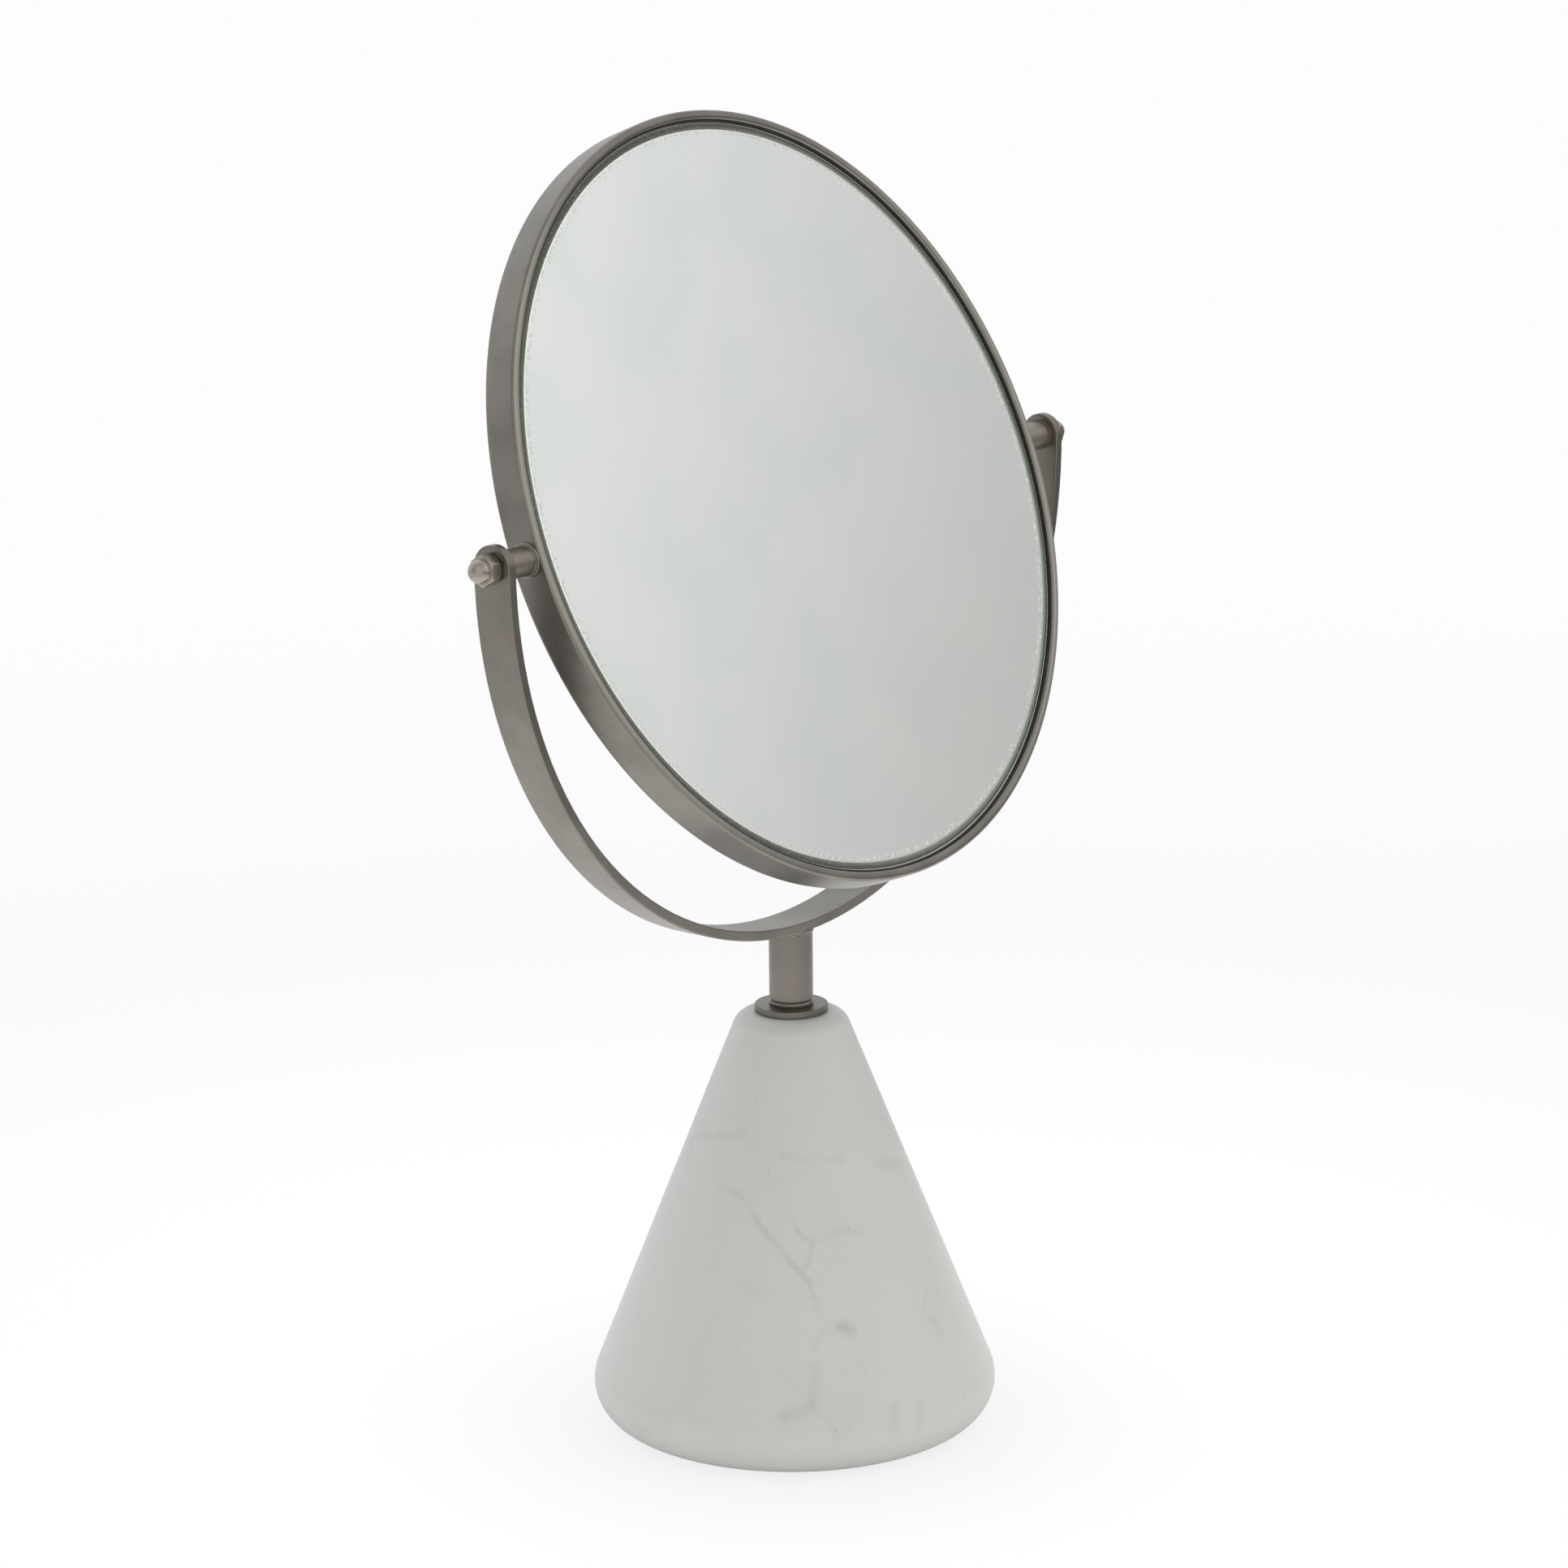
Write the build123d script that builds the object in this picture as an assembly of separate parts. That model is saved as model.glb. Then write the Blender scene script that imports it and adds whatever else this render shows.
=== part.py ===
from build123d import *
from math import cos, radians, tan
import os

# Table shaving mirror: a round two-sided mirror that tilts in a U-shaped yoke,
# on a short stem that swivels on a marble cone. Millimetres, +Z up. The origin is
# the middle of the foot, on the table; the mirror faces -Y and tilts about X.

# ---- driving dimensions -------------------------------------------------------

# marble cone and felt pad
PAD_PROUD = 0.6             # pad below the stone
PAD_THICKNESS = 2.0
PAD_RADIUS = 40.0
CONE_HEIGHT = 109.6
CONE_FOOT_RADIUS = 57.3     # where the slope would meet the table side, unrounded
CONE_TOP_RADIUS = 13.75     # the same at the top
CONE_FOOT_ROUND = 10.3
CONE_TOP_ROUND = 5.0
CONE_BORE_RADIUS = 4.0
NUT_POCKET_RADIUS = 13.0
NUT_POCKET_DEPTH = 21.4     # from the stone's underside

# neck, from the stone up: plate, washer, ring, washer, stem
PLATE_RADIUS = 9.5
PLATE_THICKNESS = 1.9
LOWER_WASHER = (5.55, 0.35)  # radius, thickness
NECK_RING = (5.75, 0.6)
UPPER_WASHER = (5.3, 0.35)
STEM_RADIUS = 5.65
STEM_FOOT_CHAMFER = 0.3
TURNED_EDGE_ROUND = 0.25    # plate and neck ring

# M6 rod that holds the stem down
ROD_RADIUS = 3.0
ROD_IN_STEM = 13.0
STEM_THREAD_DEPTH = 14.0
ROD_BELOW_NUT = 2.5
THREAD_CLEARANCE = 0.03
RUNNING_CLEARANCE = 0.05
LOOSE_CLEARANCE = 0.2
WASHER_M6 = (12.0, 1.6)     # radius, thickness
SPRING_WASHER_M6 = (5.9, 1.6)
SPRING_WASHER_SPLIT = (1.0, 20)     # gap, its slant in degrees
NUT_M6 = (10.0, 6.0)        # across flats, height with the locking collar
NUT_M6_COLLAR = (4.5, 1.6)  # radius, height of the locking collar

# yoke: flat bar bent to half a circle, with round ends about the tilt axis
PIVOT_HEIGHT = 244.5
YOKE_OUTER_RADIUS = 112.4
YOKE_THICKNESS = 2.6
YOKE_WIDTH = 11.2
YOKE_EDGE_ROUND = 0.35
SPOT_FACE_RADIUS = 4.3

# mirror head, a flat hoop with glass on both sides
HEAD_TILT = 21.6            # degrees, top leaning back
HOOP_RADIUS = 100.0
HOOP_WALL = 2.5
HOOP_DEPTH = 10.0
HOOP_EDGE_ROUND = 1.0
GLASS_RADIUS = 97.05
FRONT_GLASS_THICKNESS = 2.6
FRONT_GLASS_RECESS = 1.45
BEVEL_WIDTH = 1.95
BEVEL_DEPTH = 0.15
REAR_GLASS_THICKNESS = 1.8
REAR_GLASS_RECESS = 1.4
REAR_GLASS_SAG = 1.55       # hollow of the magnifying side
BACKING_RADIUS = 93.0
BACKING_THICKNESS = 0.7
SPACER_WIDTH = 3.7
GASKET_RECESS = 0.8         # from the hoop's edge down to the lining
ASSEMBLY_GAP = 0.05
SPACER_CLEARANCE = 0.01     # over the hollow glass

# pivots, the same on both sides, on M4 studs
STUD_RADIUS = 2.0
BOSS_RADIUS = 3.7
BOSS_END_ROUND = 0.4
BOSS_FLANGE = (4.35, 0.5)   # radius, thickness of the flange on the hoop
INNER_WASHER = (4.0, 0.4)
OUTER_WASHER = (3.4, 0.35)
NUT_M4 = (7.0, 3.2)         # across flats, height of the hexagon
DOME_RADIUS = 2.95
DOME_NUT_HEIGHT = 6.5
DOME_NUT_BORE = 4.9
BOSS_FLOOR = 1.0            # solid metal left under the boss's thread
STUD_END_GAP = 0.3          # from the stud to the bottom of each thread
WELD_GAP = 0.02

# ---- places worked out from them ----------------------------------------------

stone_bottom = PAD_PROUD
stone_top = stone_bottom + CONE_HEIGHT
pad_recess = PAD_THICKNESS - PAD_PROUD
pocket_top = stone_bottom + NUT_POCKET_DEPTH
plate_top = stone_top + PLATE_THICKNESS
lower_washer_top = plate_top + LOWER_WASHER[1]
neck_ring_top = lower_washer_top + NECK_RING[1]
stem_bottom = neck_ring_top + UPPER_WASHER[1]
yoke_inner_radius = YOKE_OUTER_RADIUS - YOKE_THICKNESS
hoop_inner_radius = HOOP_RADIUS - HOOP_WALL

HEAD = Location((0, 0, PIVOT_HEIGHT), (90 - HEAD_TILT, 0, 0))   # local Z leaves the front glass
UPRIGHT = (Align.CENTER, Align.CENTER, Align.MIN)


# ---- shared shapes ------------------------------------------------------------

def rod(radius, bottom, top):
    """A plain cylinder about Z between two heights."""
    return Pos(0, 0, bottom) * Cylinder(radius, top - bottom, align=UPRIGHT)


def washer(radius, bore, bottom, thickness):
    return rod(radius, bottom, bottom + thickness) - rod(bore, bottom, bottom + thickness)


def turned(outline):
    """A body of revolution about Z from an outline of (radius, height) points."""
    return revolve(Plane.XZ * make_face(Polyline(*outline, close=True)), Axis.Z)


def hexagon_bar(across_flats, bottom, height):
    """A hexagon nut's body with its corners chamfered at 30 degrees, one corner on X."""
    flat_radius = across_flats / 2
    corner_radius = flat_radius / cos(radians(30))
    slope = (corner_radius - flat_radius) * tan(radians(30))
    bar = extrude(RegularPolygon(corner_radius, 6), height)
    barrel = turned([
        (0, 0), (flat_radius, 0), (corner_radius, slope),
        (corner_radius, height - slope), (flat_radius, height), (0, height),
    ])
    return Pos(0, 0, bottom) * (bar & barrel)


def along_x(side, shape):
    """Turn a shape built about Z so that it points out along the tilt axis, side -1 or +1."""
    return Location((0, 0, PIVOT_HEIGHT), (0, 90 * side, 0)) * shape


# ---- base ---------------------------------------------------------------------

def marble_cone():
    profile = make_face(Polyline(
        (0, stone_bottom), (CONE_FOOT_RADIUS, stone_bottom),
        (CONE_TOP_RADIUS, stone_top), (0, stone_top), close=True,
    ))
    corners = profile.vertices().sort_by(Axis.X)
    profile = fillet(corners[-1], CONE_FOOT_ROUND)
    shoulder = profile.vertices().sort_by_distance((CONE_TOP_RADIUS, stone_top, 0))[0]
    profile = fillet(shoulder, CONE_TOP_ROUND)
    stone = revolve(Plane.XZ * profile, Axis.Z)
    stone -= rod(PAD_RADIUS + LOOSE_CLEARANCE, stone_bottom, stone_bottom + pad_recess)
    stone -= rod(NUT_POCKET_RADIUS, stone_bottom, pocket_top)
    return stone - rod(CONE_BORE_RADIUS, pocket_top, stone_top)


def collar_plate():
    plate = rod(PLATE_RADIUS, stone_top, plate_top)
    plate = fillet(plate.edges().filter_by(GeomType.CIRCLE), TURNED_EDGE_ROUND)
    return plate - rod(ROD_RADIUS + RUNNING_CLEARANCE, stone_top, plate_top)


def neck_ring():
    ring = rod(NECK_RING[0], lower_washer_top, neck_ring_top)
    ring = fillet(ring.edges().filter_by(GeomType.CIRCLE), TURNED_EDGE_ROUND)
    return ring - rod(ROD_RADIUS + LOOSE_CLEARANCE, lower_washer_top, neck_ring_top)


def stem():
    """A round bar, tapped from below and coped on top to the yoke's outside."""
    bar = rod(STEM_RADIUS, stem_bottom, PIVOT_HEIGHT - yoke_inner_radius)
    foot = bar.edges().filter_by(GeomType.CIRCLE).sort_by(Axis.Z)[0]
    bar = chamfer(foot, STEM_FOOT_CHAMFER)
    bar -= rod(ROD_RADIUS + THREAD_CLEARANCE, stem_bottom, stem_bottom + STEM_THREAD_DEPTH)
    cope = Location((0, 0, PIVOT_HEIGHT), (90, 0, 0)) * Cylinder(YOKE_OUTER_RADIUS, 4 * STEM_RADIUS)
    return bar - cope


def spring_washer(top):
    radius, thickness = SPRING_WASHER_M6
    ring = washer(radius, ROD_RADIUS + THREAD_CLEARANCE, top - thickness, thickness)
    gap, slant = SPRING_WASHER_SPLIT
    cutter = Rot(slant, 0, 0) * Box(radius + 1, gap, 2 * thickness)
    split = Pos(radius / 2, 0, top - thickness / 2) * cutter
    return ring - split


def locking_nut(top):
    """M6 nut, its locking collar pointing down."""
    across_flats, height = NUT_M6
    collar_radius, collar_height = NUT_M6_COLLAR
    nut = hexagon_bar(across_flats, top - height + collar_height, height - collar_height)
    nut += rod(collar_radius, top - height, top - height + collar_height)
    return nut - rod(ROD_RADIUS + THREAD_CLEARANCE, top - height, top)


# ---- yoke ---------------------------------------------------------------------

def yoke():
    bar_middle = YOKE_OUTER_RADIUS - YOKE_THICKNESS / 2
    section = Pos(bar_middle, 0) * RectangleRounded(YOKE_THICKNESS, YOKE_WIDTH, YOKE_EDGE_ROUND)
    bar = Pos(0, 0, PIVOT_HEIGHT) * revolve(section, Axis.Y, 180)
    disc = Cylinder(YOKE_WIDTH / 2, YOKE_THICKNESS)
    disc = Rot(0, 90, 0) * fillet(disc.edges().filter_by(GeomType.CIRCLE), YOKE_EDGE_ROUND)
    upper_half = Pos(0, 0, YOKE_WIDTH / 2) * Box(YOKE_THICKNESS, YOKE_WIDTH, YOKE_WIDTH)
    for side in (-1, 1):
        bar += Pos(side * bar_middle, 0, PIVOT_HEIGHT) * (disc & upper_half)
    eye_bore = rod(STUD_RADIUS + RUNNING_CLEARANCE, HOOP_RADIUS, YOKE_OUTER_RADIUS + 1)
    spot_face = rod(SPOT_FACE_RADIUS, HOOP_RADIUS, yoke_inner_radius)
    for side in (-1, 1):
        bar -= along_x(side, eye_bore)
        bar -= along_x(side, spot_face)
    return bar


# ---- mirror head, built flat with the front glass up ---------------------------

front_glass_top = HOOP_DEPTH / 2 - FRONT_GLASS_RECESS
front_glass_bottom = front_glass_top - FRONT_GLASS_THICKNESS
rear_rim_back = -HOOP_DEPTH / 2 + REAR_GLASS_RECESS
rear_rim_front = rear_rim_back + REAR_GLASS_THICKNESS


def mirror_hoop():
    section = Pos(HOOP_RADIUS - HOOP_WALL / 2, 0) * RectangleRounded(
        HOOP_WALL, HOOP_DEPTH, HOOP_EDGE_ROUND)
    return revolve(Plane.XZ * section, Axis.Z)


def front_mirror_glass():
    """Flat glass with a narrow bevel around its front edge."""
    return turned([
        (0, front_glass_bottom), (GLASS_RADIUS, front_glass_bottom),
        (GLASS_RADIUS, front_glass_top - BEVEL_DEPTH),
        (GLASS_RADIUS - BEVEL_WIDTH, front_glass_top), (0, front_glass_top),
    ])


def rear_mirror_glass():
    """Hollow glass of even thickness, deepest in the middle, for the magnifying side."""
    curve_radius = (GLASS_RADIUS ** 2 + REAR_GLASS_SAG ** 2) / (2 * REAR_GLASS_SAG)
    blank = rod(GLASS_RADIUS, rear_rim_back, rear_rim_front + 2 * REAR_GLASS_SAG)
    back_centre = rear_rim_back + REAR_GLASS_SAG - curve_radius
    back = Pos(0, 0, back_centre) * Sphere(curve_radius)
    front = Pos(0, 0, back_centre + REAR_GLASS_THICKNESS) * Sphere(curve_radius)
    return (blank & front) - back


def glass_gasket(bottom, top):
    """Thin black strip between a glass's edge and the hoop, standing up past the glass."""
    outer = hoop_inner_radius - ASSEMBLY_GAP
    return washer(outer, GLASS_RADIUS + ASSEMBLY_GAP, bottom, top - bottom)


def spacer_hoop():
    """Keeps the two glasses apart along their rims."""
    outer = hoop_inner_radius - ASSEMBLY_GAP
    inner = outer - SPACER_WIDTH
    hollow_there = REAR_GLASS_SAG * (1 - (inner / GLASS_RADIUS) ** 2)
    bottom = rear_rim_front + hollow_there + SPACER_CLEARANCE
    return washer(outer, inner, bottom, front_glass_bottom - bottom)


def backing_disc():
    return rod(BACKING_RADIUS, front_glass_bottom - BACKING_THICKNESS, front_glass_bottom)


# ---- pivots -------------------------------------------------------------------

inner_washer_start = yoke_inner_radius - INNER_WASHER[1]
nut_start = YOKE_OUTER_RADIUS + OUTER_WASHER[1]


def pivot_boss(side):
    """Turned spacer welded to the hoop through a thin flange, tapped from outside."""
    boss = rod(BOSS_RADIUS, HOOP_RADIUS - 1, inner_washer_start)
    outer_edge = boss.edges().filter_by(GeomType.CIRCLE).sort_by(Axis.Z)[-1]
    boss = fillet(outer_edge, BOSS_END_ROUND)
    flange_radius, flange_thickness = BOSS_FLANGE
    boss += rod(flange_radius, HOOP_RADIUS - 1, HOOP_RADIUS + flange_thickness)
    boss -= rod(STUD_RADIUS + THREAD_CLEARANCE, HOOP_RADIUS + BOSS_FLOOR, inner_washer_start)
    boss = Rot(0, 90 * side, 0) * boss
    cope = Cylinder(HOOP_RADIUS + WELD_GAP, 4 * HOOP_DEPTH)
    return HEAD * (boss - cope)


def dome_nut(side):
    """M4 cap nut: hexagon, round neck and half ball, with a blind thread."""
    across_flats, hexagon_height = NUT_M4
    nut = hexagon_bar(across_flats, 0, hexagon_height)
    ball_centre = DOME_NUT_HEIGHT - DOME_RADIUS
    nut += rod(DOME_RADIUS, hexagon_height - 0.5, ball_centre)
    nut += Pos(0, 0, ball_centre) * Sphere(DOME_RADIUS)
    nut -= rod(STUD_RADIUS + THREAD_CLEARANCE, -1, DOME_NUT_BORE)
    return along_x(side, Pos(0, 0, nut_start) * nut)


def pivot_pieces(name, side):
    stud_start = HOOP_RADIUS + BOSS_FLOOR + STUD_END_GAP
    stud_end = nut_start + DOME_NUT_BORE - STUD_END_GAP
    return {
        f"{name}_pivot_boss": pivot_boss(side),
        f"{name}_pivot_stud": along_x(side, rod(STUD_RADIUS, stud_start, stud_end)),
        f"{name}_inner_friction_washer": along_x(side, washer(
            INNER_WASHER[0], STUD_RADIUS + LOOSE_CLEARANCE, inner_washer_start, INNER_WASHER[1])),
        f"{name}_outer_friction_washer": along_x(side, washer(
            OUTER_WASHER[0], STUD_RADIUS + LOOSE_CLEARANCE, YOKE_OUTER_RADIUS, OUTER_WASHER[1])),
        f"{name}_dome_nut": dome_nut(side),
    }


# ---- the whole object ---------------------------------------------------------

spring_washer_top = pocket_top - WASHER_M6[1]
nut_top = spring_washer_top - SPRING_WASHER_M6[1]
rod_bottom = nut_top - NUT_M6[1] - ROD_BELOW_NUT

pieces = {
    "base_pad": rod(PAD_RADIUS, 0, PAD_THICKNESS),
    "marble_cone": marble_cone(),
    "base_washer": washer(
        WASHER_M6[0], ROD_RADIUS + LOOSE_CLEARANCE, spring_washer_top, WASHER_M6[1]),
    "collar_plate": collar_plate(),
    "lower_neck_washer": washer(
        LOWER_WASHER[0], ROD_RADIUS + LOOSE_CLEARANCE, plate_top, LOWER_WASHER[1]),
    "neck_ring": neck_ring(),
    "upper_neck_washer": washer(
        UPPER_WASHER[0], ROD_RADIUS + LOOSE_CLEARANCE, neck_ring_top, UPPER_WASHER[1]),
    "stem": stem(),
    "threaded_rod": rod(ROD_RADIUS, rod_bottom, stem_bottom + ROD_IN_STEM),
    "base_spring_washer": spring_washer(spring_washer_top),
    "base_nut": locking_nut(nut_top),
    "yoke": yoke(),
    "mirror_hoop": HEAD * mirror_hoop(),
    "front_mirror_glass": HEAD * front_mirror_glass(),
    "rear_mirror_glass": HEAD * rear_mirror_glass(),
    "front_glass_gasket": HEAD * glass_gasket(front_glass_bottom, HOOP_DEPTH / 2 - GASKET_RECESS),
    "rear_glass_gasket": HEAD * glass_gasket(GASKET_RECESS - HOOP_DEPTH / 2, rear_rim_front),
    "glass_spacer_hoop": HEAD * spacer_hoop(),
    "backing_disc": HEAD * backing_disc(),
}
for side_name, side_sign in (("left", -1), ("right", 1)):
    pieces.update(pivot_pieces(side_name, side_sign))

os.makedirs("parts", exist_ok=True)
for node, shape in pieces.items():
    export_step(shape, f"parts/{node}.step")
    box = shape.bounding_box()
    print(f"{node:30s} {shape.volume / 1000:9.3f} cm3  z {box.min.Z:7.2f} to {box.max.Z:7.2f}")
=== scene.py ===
import math
import bmesh
import bpy
from mathutils import Matrix, Quaternion, Vector


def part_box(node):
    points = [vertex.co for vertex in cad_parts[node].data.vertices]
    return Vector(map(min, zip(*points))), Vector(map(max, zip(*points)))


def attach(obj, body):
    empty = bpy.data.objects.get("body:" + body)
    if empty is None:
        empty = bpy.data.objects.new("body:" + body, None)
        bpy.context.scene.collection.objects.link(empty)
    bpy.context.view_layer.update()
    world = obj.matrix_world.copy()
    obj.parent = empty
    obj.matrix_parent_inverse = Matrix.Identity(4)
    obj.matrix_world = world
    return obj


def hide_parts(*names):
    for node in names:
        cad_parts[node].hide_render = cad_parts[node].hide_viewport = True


# The looks of a table shaving mirror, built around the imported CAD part. Sizes are in
# millimetres, angles in degrees; meshes are scaled to metres as they are made. Every
# turned piece is built about its own Z axis and placed by its object's matrix, so that
# the materials can read grain and turning lines from Object coordinates.

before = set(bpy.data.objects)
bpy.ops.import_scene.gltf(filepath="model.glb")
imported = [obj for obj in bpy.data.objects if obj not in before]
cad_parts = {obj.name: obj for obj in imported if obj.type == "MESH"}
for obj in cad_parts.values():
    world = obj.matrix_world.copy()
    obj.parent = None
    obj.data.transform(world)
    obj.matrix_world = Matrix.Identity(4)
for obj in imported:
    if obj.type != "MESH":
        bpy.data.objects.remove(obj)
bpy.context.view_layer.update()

MM = 0.001

# ---- dimensions that the CAD part has too ---------------------------------------

PIVOT_HEIGHT = 244.5
HEAD_TILT = 21.6

STONE_FOOT_RADIUS = 57.3
STONE_TOP_RADIUS = 13.75
STONE_FOOT_ROUND = 10.3
STONE_TOP_ROUND = 5.0
STONE_BORE_RADIUS = 4.0
PAD_RECESS_RADIUS = 40.2
PAD_RECESS_DEPTH = 1.4
POCKET_RADIUS = 13.0
POCKET_DEPTH = 21.4

ROD_BORE_RADIUS = 3.05          # the plate's; the CAD stem's is 0.02 smaller
RING_BORE_RADIUS = 3.2
STEM_THREAD_DEPTH = 14.0

YOKE_OUTER_RADIUS = 112.4

HOOP_WALL = 2.5
HOOP_DEPTH = 10.0
HOOP_EDGE_ROUND = 1.0
GLASS_RADIUS = 97.05
FRONT_GLASS_THICKNESS = 2.6
FRONT_GLASS_RECESS = 1.45
REAR_GLASS_THICKNESS = 1.8
REAR_GLASS_RECESS = 1.4
REAR_GLASS_SAG = 1.55
BEVEL_WIDTH = 1.95
BEVEL_DEPTH = 0.15
LINING_INNER_RADIUS = 97.1
LINING_OUTER_RADIUS = 97.45
LINING_RECESS = 0.8

STUD_BORE_RADIUS = 2.03
WASHER_BORE_RADIUS = 2.2
BOSS_RADIUS = 3.7
BOSS_FLANGE_RADIUS = 4.35
BOSS_FLANGE_THICKNESS = 0.5
BOSS_FLOOR = 1.0
NUT_FLATS = 7.0
NUT_HEXAGON_HEIGHT = 3.2
DOME_RADIUS = 2.95
DOME_BORE_DEPTH = 4.9

# ---- finer detail, most of which the CAD part leaves out --------------------------

STONE_BORE_EDGE = 0.3
POCKET_CORNER_ROUND = 1.0
POCKET_EDGE = 0.4
RECESS_CORNER_ROUND = 0.2
RECESS_EDGE = 0.3
PAD_FOOT_ROUND = 0.35
PAD_TOP_ROUND = 0.1
PLATE_FOOT_ROUND = 0.3
PLATE_TOP_ROUND = 0.35
PLATE_BORE_EDGE = 0.1

STEM_CHAMFER = 0.3
STEM_WELD = 0.7
STEM_WELD_STEPS = 5
STEM_WELD_TOP_SHARE = 0.98      # of its height, so that it stays just under the yoke
STEM_CORE_RADIUS = 2.0          # a hidden hole from the bore up to the yoke

WELD_RADIUS = 0.42
WELD_HEIGHT = 1.7               # of its width
WELD_SINK = 0.1
WELD_STEPS = 180
WELD_SIDES = 10
WELD_LUMPS = [(9, 1, 0.2), (14, 0, 0.16), (31, 0, 0.1)]   # times round, phase and height of each

ARRIS_WIDTH = 0.4               # ground line where the bevel meets the silver
ARRIS_DROP = 0.05
BARE_RIM_WIDTH = 0.85           # outer part of the bevel, with no silver behind it; its dark colour is also a painted reflection of the hoop's shaded wall
EDGE_LINE_WIDTH = 0.35          # lighter ground line along the very edge
RIM_FLECKS_WIDTH = 5.0          # the flecks start this far in from the glass's edge

BOSS_FLANGE_EDGE = 0.2
BOSS_FLANGE_FILLET = 0.25
BOSS_END_ROUND = 0.4
BOSS_BORE_EDGE = 0.1

NUT_CORNER_CUT = 0.08
NUT_CHAMFER_ANGLE = 30
NUT_EASED_EDGE = 0.1
NUT_FILLET = 0.2
DOME_STEPS = 14

M6_PITCH = 1.0
M4_PITCH = 0.7
THREAD_DEPTH_SHARE = 0.55       # of the pitch

# ---- places -------------------------------------------------------------------

UPRIGHT = Matrix.Identity(4)
HEAD = Matrix.Translation((0, 0, PIVOT_HEIGHT * MM)) @ Matrix.Rotation(
    math.radians(90 - HEAD_TILT), 4, "X")


def tilt_axis(side, base=None):
    """A frame at the pivots' middle whose Z points out along the tilt axis, side -1 or +1."""
    start = Matrix.Translation((0, 0, PIVOT_HEIGHT * MM)) if base is None else base
    return start @ Matrix.Rotation(math.radians(90 * side), 4, "Y")


def upright_size(node):
    """A CAD node's radius, bottom and top about the Z axis."""
    low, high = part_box(node)
    return high.x / MM, low.z / MM, high.z / MM


def pivot_size(node):
    """A right-hand CAD node's radius, start and end along the tilt axis."""
    low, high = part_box(node)
    return high.y / MM, low.x / MM, high.x / MM


hoop_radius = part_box("mirror_hoop")[1].x / MM
hoop_inner_radius = hoop_radius - HOOP_WALL
front_glass_top = HOOP_DEPTH / 2 - FRONT_GLASS_RECESS
front_glass_bottom = front_glass_top - FRONT_GLASS_THICKNESS
rear_rim_back = REAR_GLASS_RECESS - HOOP_DEPTH / 2
rear_rim_front = rear_rim_back + REAR_GLASS_THICKNESS


# ---- mesh making --------------------------------------------------------------

def rounded(corners, steps=7):
    """A closed outline from (radius, height, rounding) corners, with an arc at each rounded one."""
    points = []
    for before, corner, after in zip(corners[-1:] + corners[:-1], corners, corners[1:] + corners[:1]):
        here = Vector(corner[:2])
        if not corner[2]:
            points.append(tuple(here))
            continue
        back = (Vector(before[:2]) - here).normalized()
        on = (Vector(after[:2]) - here).normalized()
        half = back.angle(on) / 2
        centre = here + (back + on).normalized() * corner[2] / math.sin(half)
        reach = corner[2] / math.tan(half)
        first = here + back * reach - centre
        last = here + on * reach - centre
        start = math.atan2(first.y, first.x)
        turn = (math.atan2(last.y, last.x) - start + math.pi) % math.tau - math.pi
        for step in range(steps + 1):
            angle = start + turn * step / steps
            points.append((centre.x + corner[2] * math.cos(angle), centre.y + corner[2] * math.sin(angle)))
    return points


def finish_piece(piece, place, body, nodes, sharp=30):
    """Place a new piece, shade it smooth between its sharp edges and hand it to the frame."""
    mesh = piece.data
    mesh.shade_smooth()
    mesh.set_sharp_from_angle(angle=math.radians(sharp))
    weighted = piece.modifiers.new("even_shading", "WEIGHTED_NORMAL")
    weighted.keep_sharp = True
    bpy.context.scene.collection.objects.link(piece)
    piece.matrix_world = place
    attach(piece, body)
    if nodes:
        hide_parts(*nodes)
    return piece


def turned(name, outline, materials, place, body, nodes, segments=96, sharp=30, zones=None):
    """A turned piece. The outline is a closed list of (radius, height), or a function that gives
    it at each angle; zones give the material of each of its stretches, in order."""
    outline_at = outline if callable(outline) else lambda angle: outline
    builder = bmesh.new()
    rings = []
    for segment in range(segments):
        angle = math.tau * segment / segments
        across, along = math.cos(angle) * MM, math.sin(angle) * MM
        rings.append([builder.verts.new((radius * across, radius * along, height * MM))
                      for radius, height in outline_at(angle)])
    for ring, following in zip(rings, rings[1:] + rings[:1]):
        for stretch in range(len(ring)):
            after = (stretch + 1) % len(ring)
            face = builder.faces.new((ring[stretch], following[stretch], following[after], ring[after]))
            face.material_index = zones[stretch] if zones else 0
    bmesh.ops.remove_doubles(builder, verts=builder.verts, dist=1e-4 * MM)
    bmesh.ops.recalc_face_normals(builder, faces=builder.faces)
    mesh = bpy.data.meshes.new(name)
    builder.to_mesh(mesh)
    builder.free()
    for material in materials:
        mesh.materials.append(material)
    return finish_piece(bpy.data.objects.new(name, mesh), place, body, nodes, sharp)


def ring_outline(radius, bore, bottom, top, edge=0.05):
    """A plain ring's outline with slightly eased edges."""
    return rounded([
        (radius, bottom, edge), (radius, top, edge), (bore, top, edge), (bore, bottom, edge)], steps=3)


def hexagon_radius(angle, across_flats):
    """From the axis to a hexagon's side at an angle, with a corner at angle 0."""
    from_flat = (angle % (math.pi / 3)) - math.pi / 6
    return across_flats / 2 / math.cos(from_flat)


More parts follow.
